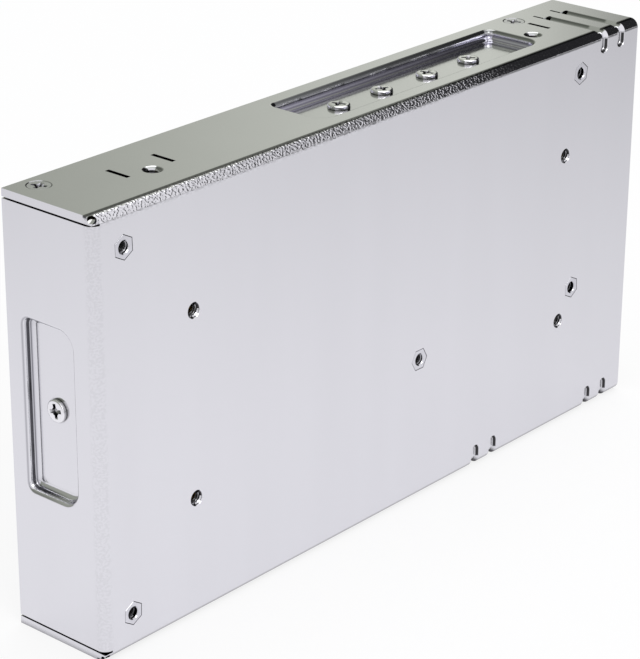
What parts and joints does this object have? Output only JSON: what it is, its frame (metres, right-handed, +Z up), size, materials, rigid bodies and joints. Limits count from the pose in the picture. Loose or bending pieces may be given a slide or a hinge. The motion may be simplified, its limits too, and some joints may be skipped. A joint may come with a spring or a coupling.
{
  "type": "enclosed switching power supply",
  "caption": "Flat metal-cased switching power supply: folded sheet chassis with drawn pockets and clinched standoffs, perforated cover, barrier terminals with a hinged clear cover.",
  "frame": {"origin": "middle of the outline of the long side wall that the unit stands on", "axes": "+X along the case from the closed end to the terminal end, +Y from the mounting base to the perforated cover, +Z up across the width to the other long side wall"},
  "size_m": [0.215, 0.03, 0.115],
  "materials": {
    "chassis": "bright rolled sheet, folded and drawn",
    "mesh_cover": "bright perforated sheet",
    "cover_screws": "zinc plated",
    "board_standoffs": "plated steel, clinched flush",
    "insulation_film": "pale insulating film",
    "circuit_board": "paper laminate",
    "board_screws": "zinc plated",
    "clamp_screws": "zinc plated",
    "clamp_bar": "plated steel strip",
    "power_devices": "moulded epoxy",
    "device_leads": "tinned copper",
    "device_pad": "silicone thermal pad",
    "bridge_rectifier": "moulded epoxy",
    "bridge_leads": "tinned copper",
    "bridge_pad": "silicone thermal pad",
    "bridge_screw": "zinc plated",
    "bridge_nut": "zinc plated",
    "bulk_capacitors": "shrink sleeve over an aluminium can",
    "transformer_core": "dark grey ferrite",
    "transformer_bobbin": "black moulded spool",
    "transformer_winding": "yellow insulating tape",
    "driver_transformer": "yellow insulating tape",
    "filter_choke_cores": "coated ring core",
    "filter_choke_windings": "enamelled copper wire",
    "output_choke_core": "coated iron powder ring",
    "output_choke_winding": "enamelled copper wire",
    "x_capacitors": "moulded film capacitor box",
    "y_capacitors": "dipped ceramic disc",
    "disc_leads": "tinned wire",
    "varistor": "dipped disc",
    "thermistor": "dipped disc",
    "fuse_body": "ceramic tube",
    "fuse_caps": "nickel plated caps and leads",
    "output_capacitors": "shrink sleeve over an aluminium can",
    "controller_chip": "moulded epoxy",
    "optocouplers": "white moulded epoxy",
    "chip_legs": "tinned copper",
    "resistors": "lacquered ceramic",
    "resistor_leads": "tinned wire",
    "terminal_block": "black moulded polyester",
    "terminal_plates": "tinned brass",
    "terminal_washers": "zinc plated",
    "terminal_screws": "zinc plated",
    "terminal_cover": "clear moulded polycarbonate",
    "trimmer_body": "blue moulded body",
    "trimmer_dial": "white moulded dial",
    "lamp_spacer": "black spacer tube",
    "lamp": "tinted clear epoxy"
  },
  "bodies": {
    "case": {"chassis": "chassis", "mesh_cover": "mesh_cover", "cover_screws": "cover_screws", "board_standoffs": "board_standoffs", "insulation_film": "insulation_film", "circuit_board": "circuit_board", "board_screws": "board_screws", "clamp_screws": "clamp_screws", "clamp_bar": "clamp_bar", "power_devices": "power_devices", "device_leads": "device_leads", "device_pad": "device_pad", "bridge_rectifier": "bridge_rectifier", "bridge_leads": "bridge_leads", "bridge_pad": "bridge_pad", "bridge_screw": "bridge_screw", "bridge_nut": "bridge_nut", "bulk_capacitors": "bulk_capacitors", "transformer_core": "transformer_core", "transformer_bobbin": "transformer_bobbin", "transformer_winding": "transformer_winding", "driver_transformer": "driver_transformer", "filter_choke_cores": "filter_choke_cores", "filter_choke_windings": "filter_choke_windings", "output_choke_core": "output_choke_core", "output_choke_winding": "output_choke_winding", "x_capacitors": "x_capacitors", "y_capacitors": "y_capacitors", "disc_leads": "disc_leads", "varistor": "varistor", "thermistor": "thermistor", "fuse_body": "fuse_body", "fuse_caps": "fuse_caps", "output_capacitors": "output_capacitors", "controller_chip": "controller_chip", "optocouplers": "optocouplers", "chip_legs": "chip_legs", "resistors": "resistors", "resistor_leads": "resistor_leads", "terminal_block": "terminal_block", "terminal_plates": "terminal_plates", "terminal_washers": "terminal_washers", "terminal_screws": "terminal_screws", "trimmer_body": "trimmer_body", "lamp_spacer": "lamp_spacer", "lamp": "lamp"},
    "cover_flap": {"terminal_cover": "terminal_cover"},
    "dial": {"trimmer_dial": "trimmer_dial"}
  },
  "joints": [
    {"name": "terminal_cover_hinge", "type": "hinge", "parent": "case", "child": "cover_flap", "pos_m": [0.0899, 0.0123, 0.0468], "axis": [0, 0, 1], "range_deg": [0, 100]},
    {"name": "trimmer_turn", "type": "hinge", "parent": "case", "child": "dial", "pos_m": [0.0955, -0.0021, 0.1015], "axis": [0, 1, 0], "range_deg": [-105, 105]}
  ]
}
